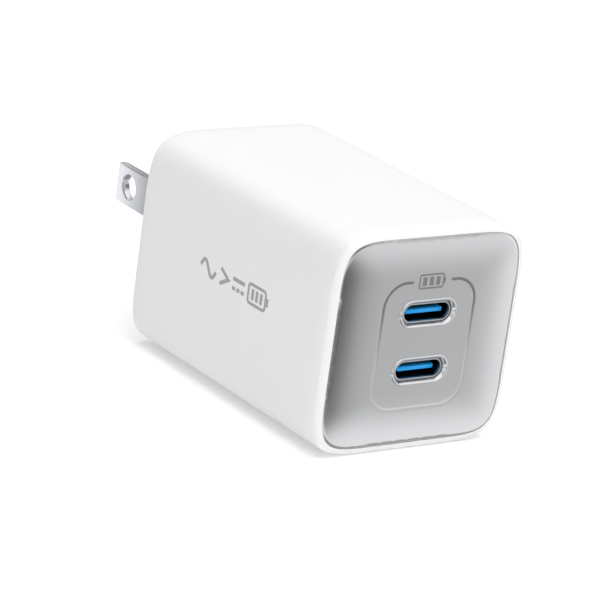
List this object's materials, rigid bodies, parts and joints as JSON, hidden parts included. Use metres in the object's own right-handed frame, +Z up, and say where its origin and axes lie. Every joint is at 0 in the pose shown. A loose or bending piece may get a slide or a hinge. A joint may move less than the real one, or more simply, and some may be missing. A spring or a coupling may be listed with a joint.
{
  "type": "wall power adapter",
  "caption": "Compact white block power adapter with a silver front plate, stacked oval charging ports and a folding flat-blade wall plug at the back.",
  "frame": {"origin": "middle of the flat underside of the body, under the middle of its length", "axes": "+Z up, front plate and ports face -Y, plug blades stand out along +Y, +X to the left when looking at the back"},
  "size_m": [0.0356, 0.0691, 0.0353],
  "materials": {
    "white_housing": "fine satin texture",
    "white_bezel": "fine satin texture",
    "silver_plate": "satin silver",
    "chrome_trim": "bright",
    "port_steel": "drawn stainless",
    "blue_insert": "glossy",
    "gold_contact": "plated",
    "green_board": "solder mask",
    "black_moulding": "matte",
    "tinned_metal": "tin plated",
    "ferrite": "ground ferrite",
    "copper_wire": "enamelled copper",
    "yellow_tape": "polyester tape",
    "capacitor_sleeve": "shrink sleeve",
    "capacitor_can": "bare can",
    "choke_green": "epoxy coated",
    "fuse_glass": "clear tube with plated caps",
    "yellow_box": "moulded box",
    "chip_black": "moulded epoxy",
    "chip_white": "moulded epoxy",
    "insulation_film": "aramid paper",
    "heat_spreader": "sheet aluminium",
    "thermal_pad": "soft silicone",
    "white_cradle": "matte",
    "screw_steel": "zinc plated",
    "plated_blade": "bright nickel plate",
    "white_rocker": "fine satin texture",
    "spring_bronze": "phosphor bronze"
  },
  "bodies": {
    "root": {"board_link_block": "black_moulding", "board_link_pins": "tinned_metal", "bridge_rectifier": "chip_black", "bulk_capacitor_1": "capacitor_sleeve", "bulk_capacitor_2": "capacitor_sleeve", "choke_core": "choke_green", "choke_winding_left": "copper_wire", "choke_winding_right": "copper_wire", "contact_spring_line": "spring_bronze", "contact_spring_neutral": "spring_bronze", "cradle_screws": "screw_steel", "front_cap": "white_bezel", "front_plate": "silver_plate", "heat_spreader": "heat_spreader", "housing": "white_housing", "input_fuse": "fuse_glass", "insulation_sheet": "insulation_film", "main_board": "green_board", "opto_isolator": "chip_white", "output_board": "green_board", "output_capacitor_1": "capacitor_can", "output_capacitor_2": "capacitor_can", "output_rectifier": "chip_black", "plug_cradle": "white_cradle", "port_contacts_lower": "gold_contact", "port_contacts_upper": "gold_contact", "port_shell_lower": "port_steel", "port_shell_upper": "port_steel", "port_tongue_lower": "blue_insert", "port_tongue_upper": "blue_insert", "port_trim_lower": "chrome_trim", "port_trim_upper": "chrome_trim", "power_switch": "chip_black", "primary_controller": "chip_black", "suppression_capacitor": "yellow_box", "thermal_pad": "thermal_pad", "transformer_bobbin": "black_moulding", "transformer_core_lower": "ferrite", "transformer_core_upper": "ferrite", "transformer_tape": "yellow_tape", "transformer_winding": "copper_wire"},
    "plug": {"plug_rocker": "white_rocker", "blade_line": "plated_blade", "blade_neutral": "plated_blade"}
  },
  "joints": [
    {"name": "plug_fold", "type": "hinge", "parent": "root", "child": "plug", "pos_m": [-0.00529, 0.0223, 0.0216], "axis": [-1, 0, 0], "range_deg": [0, 90]}
  ]
}
